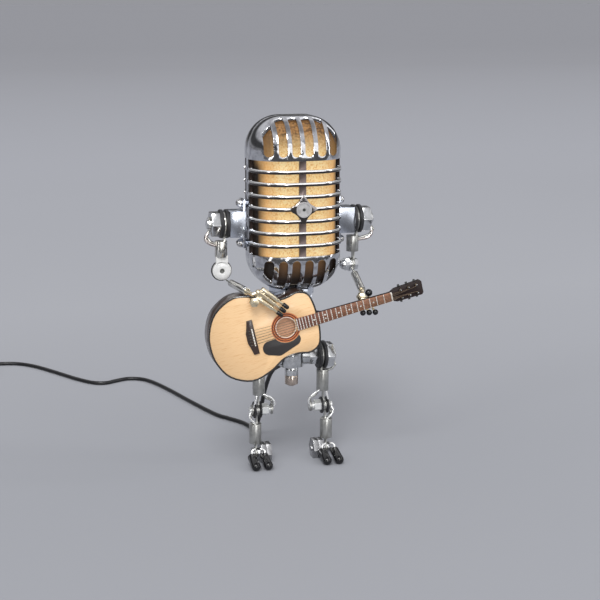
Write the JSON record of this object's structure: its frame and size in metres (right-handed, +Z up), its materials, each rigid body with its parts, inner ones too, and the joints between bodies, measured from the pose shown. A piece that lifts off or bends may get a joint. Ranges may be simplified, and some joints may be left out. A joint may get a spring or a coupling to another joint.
{
  "type": "desk lamp",
  "caption": "Robot-shaped desk lamp: chrome microphone-shell head with gold mesh on a jointed body of bolts, crimp sleeves and wire, holding a small acoustic guitar, with a thin black cord.",
  "frame": {"origin": "bottom centre of the robot and its guitar, without the cord, on the surface it stands on", "axes": "+Z up, the robot looks along -Y, the guitar's neck points to +X"},
  "size_m": [0.2938, 0.3349, 0.221],
  "materials": {
    "head_chrome": "polished chrome plate on the microphone head's shells",
    "gold_mesh": "gold-coloured fine mesh over foam behind the grille",
    "screw_chrome": "polished small screws",
    "lamp_ceramic": "plain white lamp holder",
    "lamp_glass": "frosted warm bulb",
    "steel_rod": "plain steel rod and stud",
    "body_chrome": "chromed pipe fittings",
    "black_rubber": "satin black rubber",
    "aged_nickel": "slightly brown nickel",
    "bracket_steel": "bright bluish zinc-plated bracket steel",
    "nut_chrome": "bright nuts and bolts",
    "guitar_sides": "very dark lacquered sides and back",
    "spruce_top": "pale spruce with a satin lacquer",
    "black_binding": "black binding",
    "neck_wood": "dark red-brown lacquered neck",
    "fretboard_wood": "reddish-brown fretboard",
    "fret_wire": "pale fret wire",
    "bridge_wood": "very dark bridge wood",
    "bone_white": "off-white nut and saddle",
    "rosette_wood": "orange-brown rosette rings",
    "pickguard_black": "near-black pickguard",
    "tuner_chrome": "small tuner posts and buttons",
    "cord_black": "satin black cord sheath",
    "plug_black": "black moulded connector",
    "arm_nickel": "tinned crimp sleeves, lugs and bright wire",
    "hand_nickel": "pale brass-tinted nickel crimps",
    "leg_nickel": "tinned crimp sleeves and bright wire"
  },
  "bodies": {
    "torso": {"head_front_shell": "head_chrome", "head_rear_shell": "head_chrome", "grille_liner": "gold_mesh", "boss_screw": "screw_chrome", "lamp_holder": "lamp_ceramic", "lamp_bulb": "lamp_glass", "body_rod": "steel_rod", "neck_collar": "body_chrome", "body_sleeve": "body_chrome", "pelvis_tube": "body_chrome", "switch_washer": "black_rubber", "switch_barrel": "aged_nickel", "shoulder_brackets": "bracket_steel", "bracket_screws": "screw_chrome", "shoulder_bolts": "nut_chrome", "shoulder_washers": "black_rubber", "hip_bolts": "nut_chrome", "hip_washers": "black_rubber", "guitar_body": "guitar_sides", "guitar_top": "spruce_top", "guitar_binding": "black_binding", "guitar_neck": "neck_wood", "fretboard": "fretboard_wood", "frets": "fret_wire", "guitar_bridge": "bridge_wood", "nut_and_saddle": "bone_white", "rosette": "rosette_wood", "pickguard": "pickguard_black", "tuners": "tuner_chrome", "guitar_stud": "steel_rod", "cord_gland": "cord_black", "cord_lead": "cord_black", "cord_coil": "cord_black", "cord_tie": "cord_black", "cord_plug": "plug_black"},
    "knob": {"dimmer_knob": "aged_nickel"},
    "right_upper_arm_body": {"right_upper_arm": "arm_nickel", "right_elbow_screw": "nut_chrome"},
    "right_forearm_body": {"right_forearm": "arm_nickel", "right_hand": "hand_nickel", "right_fingertips": "black_rubber"},
    "left_upper_arm_body": {"left_upper_arm": "arm_nickel", "left_elbow_bolt": "nut_chrome"},
    "left_forearm_body": {"left_forearm": "arm_nickel", "left_hand": "hand_nickel", "left_fingertips": "black_rubber"},
    "right_thigh_body": {"right_thigh": "leg_nickel", "right_knee_bolt": "nut_chrome", "right_knee_washers": "black_rubber"},
    "right_shin_body": {"right_shin": "leg_nickel"},
    "right_foot_body": {"right_foot": "nut_chrome", "right_toe_caps": "black_rubber"},
    "left_thigh_body": {"left_thigh": "leg_nickel", "left_knee_bolt": "nut_chrome", "left_knee_washers": "black_rubber"},
    "left_shin_body": {"left_shin": "leg_nickel"},
    "left_foot_body": {"left_foot": "nut_chrome", "left_toe_caps": "black_rubber"}
  },
  "joints": [
    {"name": "dimmer_turn", "type": "hinge", "parent": "torso", "child": "knob", "pos_m": [-0.00806, 0.00955, 0.052], "axis": [0, 0, 1], "range_deg": [0, 270]},
    {"name": "right_shoulder", "type": "hinge", "parent": "torso", "child": "right_upper_arm_body", "pos_m": [-0.05056, 0.01155, 0.1548], "axis": [1, 0, 0], "range_deg": [-50, 0]},
    {"name": "right_elbow", "type": "hinge", "parent": "right_upper_arm_body", "child": "right_forearm_body", "pos_m": [-0.05236, 0.01155, 0.1258], "axis": [0, 1, 0], "range_deg": [-40, 0]},
    {"name": "left_shoulder", "type": "hinge", "parent": "torso", "child": "left_upper_arm_body", "pos_m": [0.03444, 0.01155, 0.1548], "axis": [1, 0, 0], "range_deg": [0, 35]},
    {"name": "left_elbow", "type": "hinge", "parent": "left_upper_arm_body", "child": "left_forearm_body", "pos_m": [0.03094, 0.01155, 0.1258], "axis": [1, 0, 0], "range_deg": [0, 40]},
    {"name": "right_hip", "type": "hinge", "parent": "torso", "child": "right_thigh_body", "pos_m": [-0.02786, 0.01155, 0.068], "axis": [1, 0, 0], "range_deg": [-45, 30]},
    {"name": "right_knee", "type": "hinge", "parent": "right_thigh_body", "child": "right_shin_body", "pos_m": [-0.02946, 0.01155, 0.0345], "axis": [1, 0, 0], "range_deg": [-5, 75]},
    {"name": "right_ankle", "type": "hinge", "parent": "right_shin_body", "child": "right_foot_body", "pos_m": [-0.03126, 0.01155, 0.006], "axis": [1, 0, 0], "range_deg": [-20, 20]},
    {"name": "left_hip", "type": "hinge", "parent": "torso", "child": "left_thigh_body", "pos_m": [0.01174, 0.01155, 0.068], "axis": [1, 0, 0], "range_deg": [-45, 30]},
    {"name": "left_knee", "type": "hinge", "parent": "left_thigh_body", "child": "left_shin_body", "pos_m": [0.01334, 0.01155, 0.0345], "axis": [1, 0, 0], "range_deg": [-5, 75]},
    {"name": "left_ankle", "type": "hinge", "parent": "left_shin_body", "child": "left_foot_body", "pos_m": [0.01514, 0.01155, 0.006], "axis": [1, 0, 0], "range_deg": [-20, 20]}
  ]
}
